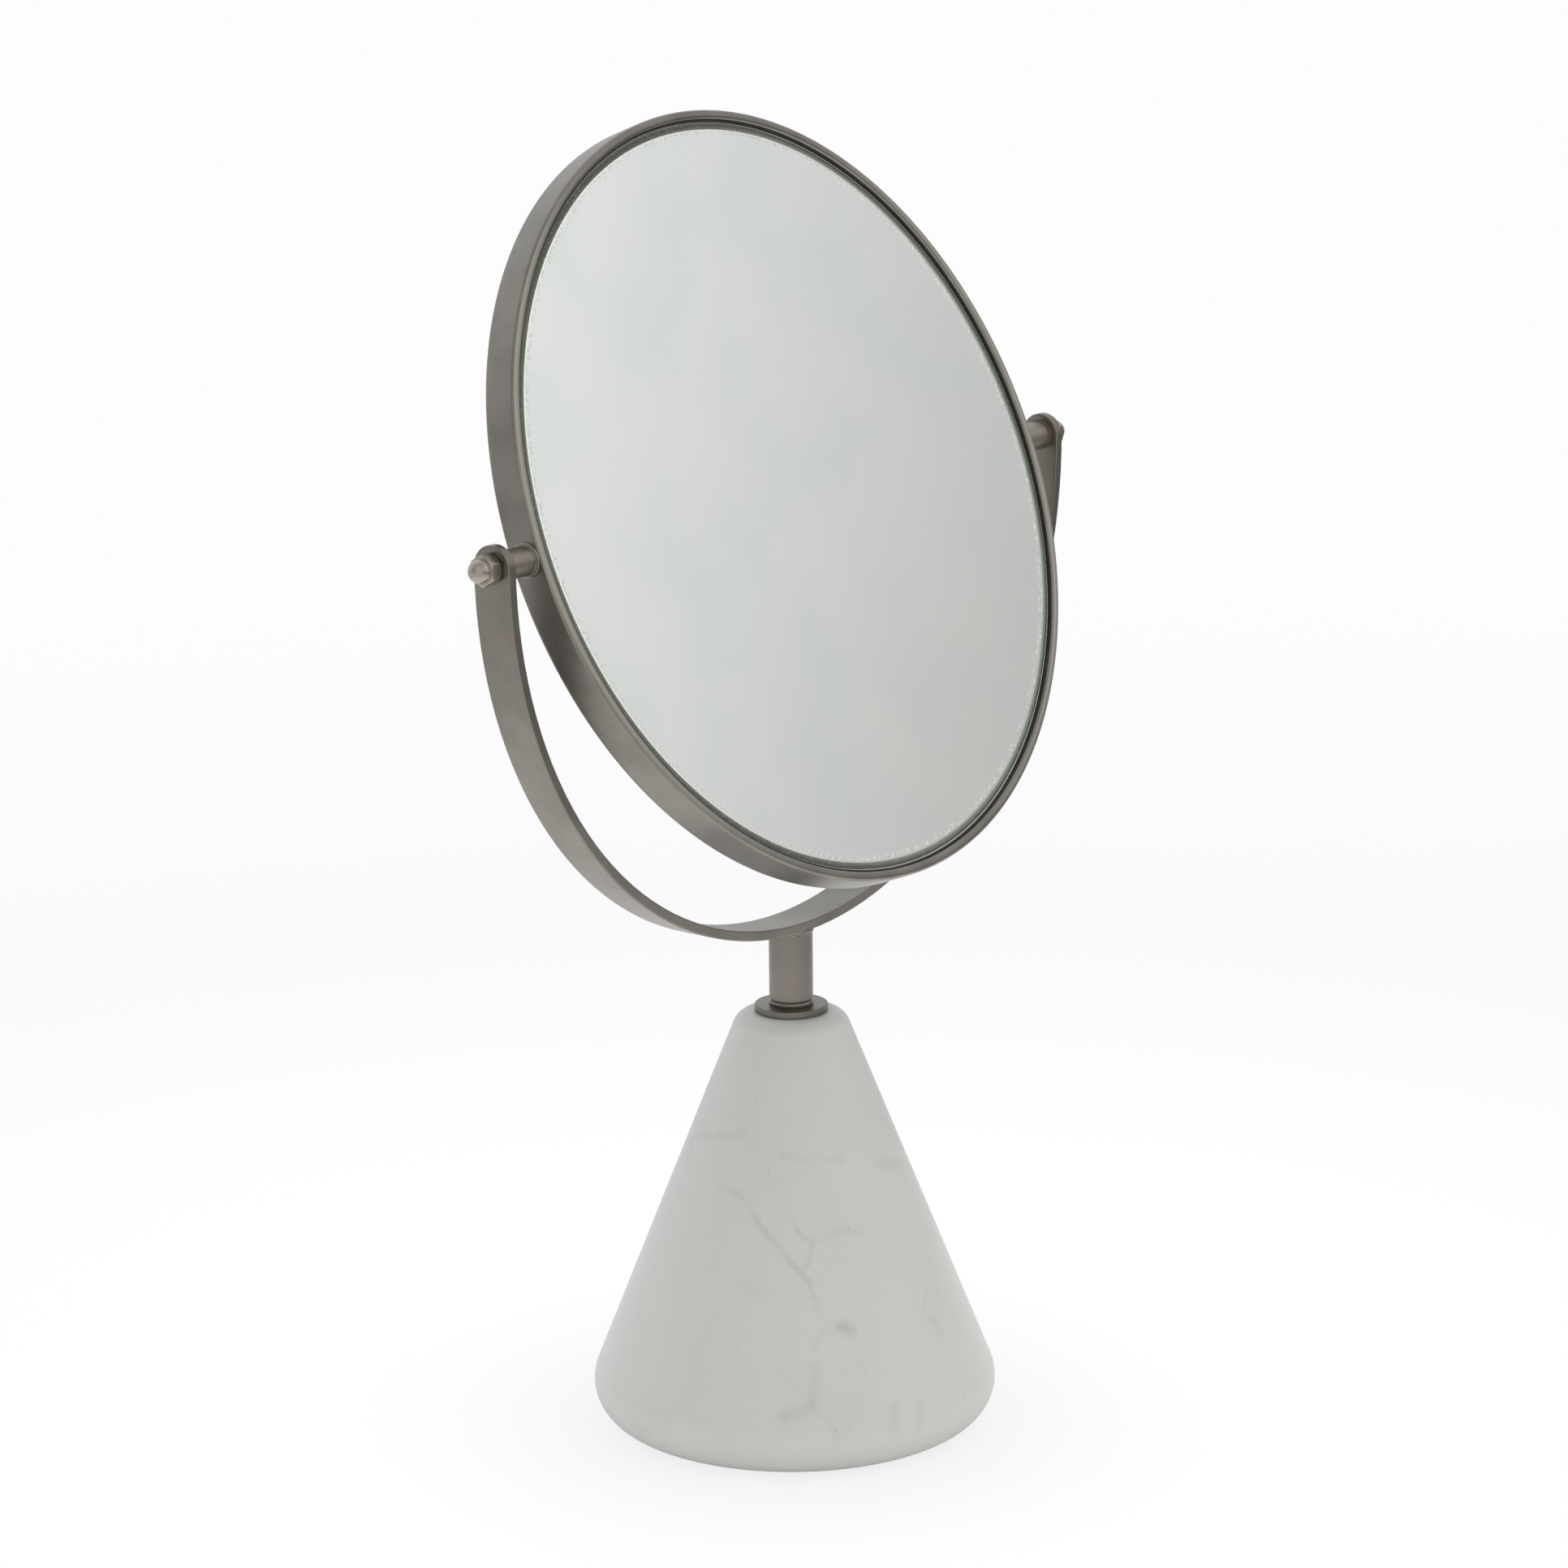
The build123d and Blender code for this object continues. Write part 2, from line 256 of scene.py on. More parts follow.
def thread_outline(radius, pitch, bottom, top, steps=6):
    """A threaded bar's outline at an angle: a helical ridge with chamfered ends."""
    depth = THREAD_DEPTH_SHARE * pitch
    count = round((top - bottom) / pitch * steps)

    def outline_at(angle):
        points = [(0, bottom)]
        for step in range(count + 1):
            height = bottom + (top - bottom) * step / count
            phase = (height / pitch - angle / math.tau) % 1
            ridge = 1 - abs(2 * phase - 1)
            end_limit = radius - depth + min(height - bottom, top - height)
            points.append((min(radius - depth * (1 - ridge), end_limit), height))
        return points + [(0, top)]

    return outline_at


# ---- node helpers -------------------------------------------------------------

def new_material(name):
    """A material with its tree and its Principled shader."""
    material = bpy.data.materials.new(name)
    material.use_nodes = True
    return material, material.node_tree, material.node_tree.nodes["Principled BSDF"]


def node(tree, kind, inputs=None, **settings):
    """Add a node; an input is another node's output or a plain value."""
    made = tree.nodes.new(kind)
    for setting, value in settings.items():
        setattr(made, setting, value)
    for socket, value in (inputs or {}).items():
        if isinstance(value, bpy.types.NodeSocket):
            tree.links.new(value, made.inputs[socket])
        else:
            made.inputs[socket].default_value = value
    return made


def maths(tree, operation, first, second=0.0):
    return node(tree, "ShaderNodeMath", {0: first, 1: second}, operation=operation).outputs[0]


def weighted(tree, first, second, share):
    """A mean of two values, where share is the first one's weight."""
    return maths(
        tree, "ADD", maths(tree, "MULTIPLY", first, share), maths(tree, "MULTIPLY", second, 1 - share))


def vectors(tree, operation, first, second=(0, 0, 0)):
    made = node(tree, "ShaderNodeVectorMath", {0: first, 1: second}, operation=operation)
    return made.outputs["Value" if operation in ("LENGTH", "DOT_PRODUCT", "DISTANCE") else "Vector"]


def scaled(tree, vector, factor):
    made = node(tree, "ShaderNodeVectorMath", {0: vector, "Scale": factor}, operation="SCALE")
    return made.outputs["Vector"]


def soft_step(tree, value, start, end, low=0.0, high=1.0):
    """A smooth change from low to high as value goes from start to end."""
    return node(tree, "ShaderNodeMapRange", {
        "Value": value, "From Min": start, "From Max": end, "To Min": low, "To Max": high,
    }, interpolation_type="SMOOTHSTEP").outputs["Result"]


def spread(tree, value, low, high):
    """Stretch a 0 to 1 value over a range."""
    return node(tree, "ShaderNodeMapRange", {
        "Value": value, "To Min": low, "To Max": high}).outputs["Result"]


def noise(tree, vector, size, detail=3.0, roughness=0.55, output="Factor"):
    """Noise whose features are about size millimetres across."""
    made = node(tree, "ShaderNodeTexNoise", {
        "Vector": vector, "Scale": 1 / (size * MM), "Detail": detail, "Roughness": roughness})
    return made.outputs[0 if output == "Factor" else 1]


def blend_colours(tree, factor, first, second):
    made = node(tree, "ShaderNodeMix", {0: factor, 6: first, 7: second}, data_type="RGBA")
    return made.outputs[2]


def bump(tree, height, depth, normal=None):
    """A bump whose full height is depth millimetres."""
    made = node(tree, "ShaderNodeBump", {"Height": height, "Strength": 1.0, "Distance": depth * MM})
    if normal is not None:
        tree.links.new(normal, made.inputs["Normal"])
    return made.outputs["Normal"]


def object_place(tree):
    return node(tree, "ShaderNodeTexCoord").outputs["Object"]


def colour(*parts):
    return (*parts, 1.0)


# ---- metals, plastics and soft materials ---------------------------------------

FINE_LINE_LENGTH = 0.12
COARSE_LINE_LENGTH = 0.4
COARSE_LINE_WIDTH = 5           # times a fine line's
FINE_SHARE = 0.75               # of the lines
LINES_IN_TONE = 0.22            # the rest of the tone is cloud
METAL_CLOUD = 14                # size of the cloudy patches
TARNISH_PATCH = 30
ROSY_TINT = (0.98, 0.9, 0.86)   # of the light tone, where the metal is tarnished
GLOSS_SWING = 0.07
# A painted highlight on the hoop's face: its base colour is lighter towards the left and right
SIDE_HIGHLIGHT_START = 0.35          # of the hoop's radius
SIDE_HIGHLIGHT_FULL = 0.9
SIDE_HIGHLIGHT_DARK = 0.9            # its darker patches, as a share of it

ZINC_CRYSTAL = 0.9
ZINC_PATCH = 4
ZINC_DARK = (0.50, 0.52, 0.54)
ZINC_LIGHT = (0.70, 0.70, 0.68)

POLYMER_PATCH = 5
FIBRE_PATCH = 9

def turning_lines(tree, place, line_width, line_length, axis="Z"):
    """Noise in long lines that run round an axis, as brushing or turning leaves them."""
    parts = node(tree, "ShaderNodeSeparateXYZ", {0: place}).outputs
    order = {"Z": ("X", "Y", "Z"), "Y": ("X", "Z", "Y")}[axis]
    across, along, height = (parts[part] for part in order)
    flat = node(tree, "ShaderNodeCombineXYZ", {0: across, 1: along}).outputs[0]
    radius = vectors(tree, "LENGTH", flat)
    level = maths(tree, "ADD", radius, height)
    round_it = scaled(tree, vectors(tree, "NORMALIZE", flat), 1 / line_length)
    across_lines = maths(tree, "DIVIDE", level, line_width * MM)
    lines = node(tree, "ShaderNodeCombineXYZ", {2: across_lines}).outputs[0]
    where = vectors(tree, "ADD", round_it, lines)
    return node(tree, "ShaderNodeTexNoise", {
        "Vector": where, "Scale": 1.0, "Detail": 4.0, "Roughness": 0.7}).outputs[0]


def brushed_metal(name, dark, light, roughness, depth, line_width=0.35, axis="Z", centre=None,
                  rosy=0.45, side_highlight=None):
    """Brushed or turned metal: fine lines round the axis, slow cloudy patches, uneven gloss. Rosy
    is the most that the tarnished patches turn rosy. A ring's face can be given a lighter colour
    towards its two sides: a painted highlight, where brushed metal catches the light."""
    material, tree, shader = new_material(name)
    place = object_place(tree)
    if centre is not None:
        place = vectors(tree, "SUBTRACT", place, centre)
    fine = turning_lines(tree, place, line_width, FINE_LINE_LENGTH, axis)
    coarse = turning_lines(tree, place, line_width * COARSE_LINE_WIDTH, COARSE_LINE_LENGTH, axis)
    cloud = noise(tree, place, METAL_CLOUD, detail=4)
    lines = weighted(tree, fine, coarse, FINE_SHARE)
    tone = weighted(tree, lines, cloud, LINES_IN_TONE)
    plain = blend_colours(tree, soft_step(tree, tone, 0.3, 0.7), colour(*dark), colour(*light))
    tarnish = soft_step(tree, noise(tree, place, TARNISH_PATCH, detail=3), 0.45, 0.7, 0.0, rosy)
    rosy_tone = colour(*(part * tint for part, tint in zip(light, ROSY_TINT)))
    coloured = blend_colours(tree, tarnish, plain, rosy_tone)
    # Painted highlight: a lighter base colour towards the face's two sides
    if side_highlight:
        across = node(tree, "ShaderNodeSeparateXYZ", {0: place}).outputs["X"]
        share = soft_step(
            tree, maths(tree, "ABSOLUTE", across), SIDE_HIGHLIGHT_START * hoop_radius * MM,
            SIDE_HIGHLIGHT_FULL * hoop_radius * MM)
        side_dark = colour(*(part * SIDE_HIGHLIGHT_DARK for part in side_highlight))
        lighter = blend_colours(tree, tone, side_dark, colour(*side_highlight))
        coloured = blend_colours(tree, share, coloured, lighter)
    tree.links.new(coloured, shader.inputs["Base Color"])
    gloss = weighted(tree, lines, cloud, 0.5)
    tree.links.new(
        spread(tree, gloss, roughness - GLOSS_SWING, roughness + GLOSS_SWING),
        shader.inputs["Roughness"])
    dents = bump(tree, cloud, depth * 2)
    tree.links.new(bump(tree, lines, depth, dents), shader.inputs["Normal"])
    shader.inputs["Metallic"].default_value = 1.0
    return material


def zinc_plate(name):
    """Bright zinc plating: fine crystals, a faint blue cast and dull patches."""
    material, tree, shader = new_material(name)
    place = object_place(tree)
    crystals = node(
        tree, "ShaderNodeTexVoronoi", {"Vector": place, "Scale": 1 / (ZINC_CRYSTAL * MM)})
    cells = crystals.outputs["Distance"]
    patches = noise(tree, place, ZINC_PATCH, detail=5)
    tone = weighted(tree, cells, patches, 0.4)
    tree.links.new(
        blend_colours(tree, tone, colour(*ZINC_DARK), colour(*ZINC_LIGHT)),
        shader.inputs["Base Color"])
    tree.links.new(spread(tree, patches, 0.25, 0.5), shader.inputs["Roughness"])
    tree.links.new(bump(tree, cells, 0.01), shader.inputs["Normal"])
    shader.inputs["Metallic"].default_value = 1.0
    return material


def moulded(name, dark, light, roughness, grain_size, grain_depth):
    """A moulded or extruded polymer or a paint: fine surface grain with lighter, duller patches."""
    material, tree, shader = new_material(name)
    place = object_place(tree)
    grain = noise(tree, place, grain_size, detail=3)
    patches = noise(tree, place, POLYMER_PATCH, detail=5, roughness=0.65)
    tree.links.new(
        blend_colours(tree, soft_step(tree, patches, 0.35, 0.75), colour(*dark), colour(*light)),
        shader.inputs["Base Color"])
    tree.links.new(spread(tree, patches, roughness - 0.1, roughness + 0.1), shader.inputs["Roughness"])
    tree.links.new(bump(tree, grain, grain_depth), shader.inputs["Normal"])
    return material


def fibrous(name, dark, light, fibre_size, depth, sheen):
    """Pressed fibres, for the wool felt and the backing card."""
    material, tree, shader = new_material(name)
    place = object_place(tree)
    tangle = noise(tree, place, fibre_size * 6, detail=2, output="Color")
    bent = vectors(tree, "ADD", place, scaled(tree, tangle, fibre_size * 12 * MM))
    fibres = noise(tree, bent, fibre_size, detail=5, roughness=0.75)
    patches = noise(tree, place, FIBRE_PATCH, detail=3)
    tone = weighted(tree, fibres, patches, 0.7)
    tree.links.new(
        blend_colours(tree, soft_step(tree, tone, 0.35, 0.65), colour(*dark), colour(*light)),
        shader.inputs["Base Color"])
    tree.links.new(bump(tree, fibres, depth), shader.inputs["Normal"])
    shader.inputs["Roughness"].default_value = 0.9
    shader.inputs["Sheen Weight"].default_value = sheen
    return material


# ---- marble -------------------------------------------------------------------

# Veins on the stone's outside: points of (degrees round from +X, height), width, darkness
VEINS = [
    ([(179, 70), (190, 69.5), (196.5, 67.5), (201.5, 64)], 0.9, 0.26),
    ([(201.5, 64), (206, 61), (211.5, 57.5), (217, 54), (221, 51.5), (224, 49), (226, 45.5)], 0.85, 0.4),
    ([(217.5, 64), (219.5, 61.3), (222.5, 60), (227.5, 59), (226.5, 58.5), (225, 55.5), (222.5, 53)],
     0.65, 0.3),
    ([(227.5, 59), (235.5, 60.5), (242, 60.5), (248.5, 59)], 1.3, 0.17),
    ([(226, 44.5), (229.5, 39.5), (225, 34)], 0.7, 0.22),
    ([(234, 38.5), (237.5, 37.5)], 1.5, 0.5),
    ([(224, 29), (223.5, 20), (216, 18)], 1.5, 0.3),
    ([(247.5, 18), (246, 11)], 1.2, 0.28),
    ([(257.5, 17), (255, 11)], 1.2, 0.28),
    ([(272, 34), (274, 31)], 1.5, 0.28),
    ([(213, 79), (233, 78), (245, 77)], 1.0, 0.2),
    ([(271, 74), (290, 71)], 1.6, 0.25),
    ([(143, 78), (166, 81), (187, 84)], 0.9, 0.2),
    ([(157, 97), (171, 105)], 0.9, 0.12),
    ([(197, 49), (207, 46)], 1.4, 0.16),
    ([(30, 52), (52, 60), (70, 73), (84, 78)], 0.9, 0.36),
    ([(52, 60), (60, 50), (63, 38)], 0.7, 0.25),
    ([(330, 25), (345, 34), (356, 47), (4, 62)], 0.8, 0.3),
    ([(110, 22), (122, 30), (129, 42)], 1.1, 0.26),
]


def on_stone(degrees, height):
    """A point on the stone's slope, in metres."""
    _, bottom, top = upright_size("marble_cone")
    share = (height - bottom) / (top - bottom)
    radius = STONE_FOOT_RADIUS + (STONE_TOP_RADIUS - STONE_FOOT_RADIUS) * share
    angle = math.radians(degrees)
    return Vector((radius * math.cos(angle), radius * math.sin(angle), height)) * MM


def distance_to_stretch(tree, place, start, end):
    """Distance from a place to the straight stretch between two points."""
    run = end - start
    from_start = vectors(tree, "SUBTRACT", place, start)
    along = maths(tree, "DIVIDE", vectors(tree, "DOT_PRODUCT", from_start, run), run.length_squared)
    held = node(tree, "ShaderNodeClamp", {"Value": along}).outputs[0]
    return vectors(tree, "DISTANCE", from_start, scaled(tree, run, held))


def vein_darkness(tree, place, ragged):
    """How dark the listed veins make each place."""
    total = None
    for points, width, darkness in VEINS:
        nearest = None
        surface_points = [on_stone(*point) for point in points]
        for start, end in zip(surface_points, surface_points[1:]):
            distance = distance_to_stretch(tree, place, start, end)
            nearest = distance if nearest is None else maths(tree, "MINIMUM", nearest, distance)
        edge = maths(tree, "ADD", nearest, ragged)
        shade = soft_step(tree, edge, 2.2 * width * MM, 0.0, 0.0, darkness)
        total = shade if total is None else maths(tree, "MAXIMUM", total, shade)
    return total


MARBLE_DARK = (0.631, 0.645, 0.619)
MARBLE_LIGHT = (0.676, 0.69, 0.662)
VEIN_TONE = (0.42, 0.41, 0.40)
PIT_TONE = (0.3, 0.29, 0.27)
VEIN_WANDER = 3.5               # bends the veins by up to half of this

# Sizes of the marble's patterns
MARBLE_DRIFT = 12
MARBLE_GRAIN = 1.1
VEIN_RAGGEDNESS = 3
VEIN_BREAKS = 6
HAIRLINE_SPACING = 38
HAIRLINE_PATCH = 24
MARBLE_CLOUD = 26
PIT_SPACING = 7


def honed_marble(name):
    """White marble with soft grey clouds, veins, hairlines and a few open pits."""
    material, tree, shader = new_material(name)
    place = object_place(tree)
    drift_noise = noise(tree, place, MARBLE_DRIFT, detail=4, output="Color")
    drift = vectors(tree, "SUBTRACT", drift_noise, (0.5, 0.5, 0.5))
    bent = vectors(tree, "ADD", place, scaled(tree, drift, VEIN_WANDER * MM))
    grain = noise(tree, place, MARBLE_GRAIN, detail=6, roughness=0.7)
    ragged = spread(
        tree, noise(tree, place, VEIN_RAGGEDNESS, detail=4, roughness=0.55), -0.7 * MM, 1.0 * MM)
    broken = soft_step(tree, noise(tree, place, VEIN_BREAKS, detail=4), 0.3, 0.62, 0.45, 1.0)
    veins = maths(tree, "MULTIPLY", vein_darkness(tree, bent, ragged), broken)
    level = maths(
        tree, "ABSOLUTE", maths(tree, "SUBTRACT", noise(tree, bent, HAIRLINE_SPACING, detail=2), 0.5))
    presence = soft_step(tree, noise(tree, place, HAIRLINE_PATCH, detail=2), 0.5, 0.68)
    hairlines = maths(tree, "MULTIPLY", soft_step(tree, level, 0.02, 0.0, 0.0, 0.14), presence)
    clouds = soft_step(tree, noise(tree, bent, MARBLE_CLOUD, detail=5), 0.45, 0.8, 0.0, 0.09)
    shade = maths(tree, "ADD", maths(tree, "MAXIMUM", veins, hairlines), clouds)
    plain = blend_colours(tree, grain, colour(*MARBLE_DARK), colour(*MARBLE_LIGHT))
    coloured = blend_colours(tree, shade, plain, colour(*VEIN_TONE))
    pit_cells = node(
        tree, "ShaderNodeTexVoronoi", {"Vector": place, "Scale": 1 / (PIT_SPACING * MM)})
    pits = soft_step(tree, pit_cells.outputs["Distance"], 0.05, 0.02)
    tree.links.new(
        blend_colours(tree, maths(tree, "MULTIPLY", pits, 0.5), coloured, colour(*PIT_TONE)),
        shader.inputs["Base Color"])
    tree.links.new(spread(tree, grain, 0.42, 0.6), shader.inputs["Roughness"])
    surface = maths(tree, "SUBTRACT", maths(tree, "MULTIPLY", grain, 0.1), pits)
    tree.links.new(bump(tree, surface, 0.06), shader.inputs["Normal"])
    shader.inputs["Coat Weight"].default_value = 0.35
    shader.inputs["Coat Roughness"].default_value = 0.3
    return material


# ---- glass --------------------------------------------------------------------

SILVER_DARK = (0.805, 0.857, 0.850)
SILVER_LIGHT = (0.845, 0.882, 0.882)
FLECK_TONE = (1.0, 1.0, 0.97)
CHIP_TONE = (0.9, 0.93, 0.88)
HAZE_PATCH = 34
FLECK_SIZE = 1.1
WAVE_LENGTH = 60
CHIP_SIZE = 0.7
EDGE_DRIFT = 22
EDGE_DARK_SHARE = 0.88          # a rim zone's darker patches, as a share of its tone

def silvered(name):
    """The silvered glass: a faint green tint, slight waviness, a cloudy haze and a flecked rim."""
    material, tree, shader = new_material(name)
    place = object_place(tree)
    parts = node(tree, "ShaderNodeSeparateXYZ", {0: place}).outputs
    flat = node(tree, "ShaderNodeCombineXYZ", {0: parts["X"], 1: parts["Y"]}).outputs[0]
    radius = vectors(tree, "LENGTH", flat)
    haze = soft_step(tree, noise(tree, place, HAZE_PATCH, detail=3, roughness=0.45), 0.3, 0.7)
    rim = soft_step(
        tree, radius, (GLASS_RADIUS - RIM_FLECKS_WIDTH) * MM, (GLASS_RADIUS - BEVEL_WIDTH) * MM)
    chips = soft_step(tree, noise(tree, place, FLECK_SIZE, detail=3, roughness=0.7), 0.52, 0.6)
    flecks = maths(tree, "MULTIPLY", maths(tree, "MULTIPLY", chips, rim), rim)
    plain = blend_colours(tree, haze, colour(*SILVER_DARK), colour(*SILVER_LIGHT))
    tree.links.new(
        blend_colours(tree, flecks, plain, colour(*FLECK_TONE)), shader.inputs["Base Color"])
    dull = maths(tree, "MAXIMUM", spread(tree, haze, 0.015, 0.06), maths(tree, "MULTIPLY", flecks, 0.2))
    tree.links.new(dull, shader.inputs["Roughness"])
    waves = noise(tree, place, WAVE_LENGTH, detail=1)
    sparkle = bump(tree, flecks, 0.06, bump(tree, waves, 0.08))
    tree.links.new(sparkle, shader.inputs["Normal"])
    shader.inputs["Metallic"].default_value = 1.0
    return material


def glass_edge(name, tone, roughness, metallic, bend=0.0, outer_share=1.0):
    """A rim zone of the glass, with tiny light chips. From the bevel's start to the bare rim its
    tone falls to outer_share of itself, a painted darkening that stands in for the reflection of
    the hoop's dark wall. Over silver, the wedge of glass turns the reflection inwards: bend is the
    tangent of that turn of the normal."""
    material, tree, shader = new_material(name)
    place = object_place(tree)
    chips = soft_step(tree, noise(tree, place, CHIP_SIZE, detail=4, roughness=0.7), 0.58, 0.7)
    drift = noise(tree, place, EDGE_DRIFT, detail=2)
    darker = colour(*(part * EDGE_DARK_SHARE for part in tone))
    body = blend_colours(tree, drift, darker, colour(*tone))
    flat = vectors(tree, "MULTIPLY", place, (1, 1, 0))
    if outer_share != 1:
        outwards_share = soft_step(
            tree, vectors(tree, "LENGTH", flat), (GLASS_RADIUS - BEVEL_WIDTH) * MM,
            (GLASS_RADIUS - BARE_RIM_WIDTH) * MM)
        outer = colour(*(part * outer_share for part in tone))
        body = blend_colours(tree, outwards_share, body, outer)
    tree.links.new(
        blend_colours(tree, maths(tree, "MULTIPLY", chips, 0.6), body, colour(*CHIP_TONE)),
        shader.inputs["Base Color"])
    tree.links.new(spread(tree, chips, roughness, 0.5), shader.inputs["Roughness"])
    normal = node(tree, "ShaderNodeNewGeometry").outputs["Normal"]
    if bend:
        outwards = node(
            tree, "ShaderNodeVectorTransform", {0: vectors(tree, "NORMALIZE", flat)},
            vector_type="VECTOR", convert_from="OBJECT", convert_to="WORLD").outputs[0]
        normal = vectors(
            tree, "NORMALIZE", vectors(tree, "SUBTRACT", normal, scaled(tree, outwards, bend)))
    tree.links.new(bump(tree, chips, 0.04, normal), shader.inputs["Normal"])
    shader.inputs["Metallic"].default_value = metallic
    return material


def backing_paint(name):
    """Protective paint behind the silver: smooth grey with roller texture."""
    return moulded(name, (0.16, 0.17, 0.17), (0.24, 0.25, 0.25), 0.55, 1.5, 0.02)


# ---- the material library ------------------------------------------------------

NICKEL_DARK = (0.215, 0.200, 0.178)
NICKEL_LIGHT = (0.282, 0.264, 0.238)
SATIN_DARK = (0.33, 0.302, 0.26)
SATIN_LIGHT = (0.43, 0.395, 0.345)

marble = honed_marble("honed_marble")
felt = fibrous("wool_felt", (0.10, 0.10, 0.105), (0.20, 0.20, 0.205), 0.25, 0.25, 0.6)
card = fibrous("backing_card", (0.36, 0.30, 0.23), (0.50, 0.43, 0.34), 0.4, 0.08, 0.0)
brushed_nickel = brushed_metal("brushed_nickel", NICKEL_DARK, NICKEL_LIGHT, 0.36, 0.0018)
hoop_nickel = brushed_metal(
    "brushed_nickel_hoop", (0.224, 0.210, 0.190), (0.295, 0.280, 0.256), 0.36, 0.0018, rosy=0.3)
# The hoop's front face, with a painted highlight towards its left and right
face_nickel = brushed_metal(
    "brushed_nickel_face", (0.20, 0.190, 0.170), (0.262, 0.252, 0.228), 0.36, 0.0018, rosy=0.2,
    side_highlight=(0.38, 0.366, 0.318))
plate_nickel = brushed_metal(
    "brushed_nickel_plate", (0.165, 0.153, 0.134), (0.225, 0.210, 0.186), 0.36, 0.0018, rosy=0.3)
# The bosses' nickel is a lighter copy of the brushed nickel: painted light, standing in for the highlight
# they catch
boss_nickel = brushed_metal(
    "brushed_nickel_boss", (0.27, 0.248, 0.222), (0.365, 0.338, 0.302), 0.45, 0.0018)
yoke_nickel = brushed_metal(
    "brushed_nickel_yoke", NICKEL_DARK, NICKEL_LIGHT, 0.36, 0.0018, axis="Y",
    centre=(0, 0, PIVOT_HEIGHT * MM))
satin_nickel = brushed_metal(
    "satin_nickel", SATIN_DARK, SATIN_LIGHT, 0.29, 0.001, line_width=0.2, rosy=0.15)
zinc = zinc_plate("zinc_plate")
nylon = moulded("dark_nylon", (0.135, 0.115, 0.095), (0.19, 0.166, 0.140), 0.33, 0.4, 0.01)
rubber = moulded("black_rubber", (0.012, 0.012, 0.011), (0.03, 0.03, 0.028), 0.6, 0.3, 0.02)
silver = silvered("silvered_glass")
arris = glass_edge("glass_ground_line", (0.96, 0.97, 0.92), 0.3, 1.0)
# The bevel's tone falls towards its outer edge: painted shade, standing in for the reflection of the
# hoop's dark wall
bevel = glass_edge("glass_bevel", (0.28, 0.31, 0.27), 0.12, 1.0, bend=0.22, outer_share=0.5)
# The bare rim is glass with no silver behind it, and its dark colour is also a painted reflection of the
# hoop's shaded wall
bare_rim = glass_edge("glass_bare_rim", (0.085, 0.10, 0.078), 0.25, 0.0)
edge_line = glass_edge("glass_edge_line", (0.42, 0.44, 0.395), 0.2, 1.0, bend=0.35)
ground_side = glass_edge("glass_ground_side", (0.20, 0.30, 0.24), 0.35, 0.0)
paint = backing_paint("mirror_back_paint")
glass_materials = [silver, arris, bevel, bare_rim, edge_line, ground_side, paint]


# ---- base ---------------------------------------------------------------------

def stone():
    """The cone, with the rod's bore, the nut's pocket and the pad's recess."""
    _, bottom, top = upright_size("marble_cone")
    pocket_top = bottom + POCKET_DEPTH
    recess_top = bottom + PAD_RECESS_DEPTH
    outline = rounded([
        (STONE_FOOT_RADIUS, bottom, STONE_FOOT_ROUND), (STONE_TOP_RADIUS, top, STONE_TOP_ROUND),
        (STONE_BORE_RADIUS, top, STONE_BORE_EDGE), (STONE_BORE_RADIUS, pocket_top, 0),
        (POCKET_RADIUS, pocket_top, POCKET_CORNER_ROUND), (POCKET_RADIUS, recess_top, POCKET_EDGE),
        (PAD_RECESS_RADIUS, recess_top, RECESS_CORNER_ROUND), (PAD_RECESS_RADIUS, bottom, RECESS_EDGE),
    ], steps=16)
    turned("stone", outline, [marble], UPRIGHT, "base", ["marble_cone"], segments=256)


def foot_pad():
    radius, bottom, top = upright_size("base_pad")
    outline = rounded([
        (0, bottom, 0), (radius, bottom, PAD_FOOT_ROUND), (radius, top, PAD_TOP_ROUND), (0, top, 0)])
    turned("foot_pad", outline, [felt], UPRIGHT, "base", ["base_pad"], segments=128)


def flange_plate():
    radius, bottom, top = upright_size("collar_plate")
    outline = rounded([
        (radius, bottom, PLATE_FOOT_ROUND), (radius, top, PLATE_TOP_ROUND),
        (ROD_BORE_RADIUS, top, PLATE_BORE_EDGE), (ROD_BORE_RADIUS, bottom, PLATE_BORE_EDGE)])
    turned("flange_plate", outline, [plate_nickel], UPRIGHT, "base", ["collar_plate"],
           segments=128)


def neck_rings():
    """The dark washers and the light ring between them, under the stem."""
    for name, node_name, body, material, slot, edge in (
            ("lower_washer", "lower_neck_washer", "base", nylon, "black_nylon", 0.08),
            ("neck_collar", "neck_ring", "yoke", satin_nickel, "polished_nickel", 0.22),
            ("upper_washer", "upper_neck_washer", "yoke", nylon, "black_nylon", 0.05)):
        radius, bottom, top = upright_size(node_name)
        outline = ring_outline(radius, RING_BORE_RADIUS, bottom, top, edge)
        turned(name, outline, [material], UPRIGHT, body, [node_name])


# ---- stem, rod and yoke ---------------------------------------------------------

def yoke_underside(across):
    """Height of the yoke's outside face at a distance across from the middle."""
    return PIVOT_HEIGHT - math.sqrt(YOKE_OUTER_RADIUS ** 2 - across ** 2)


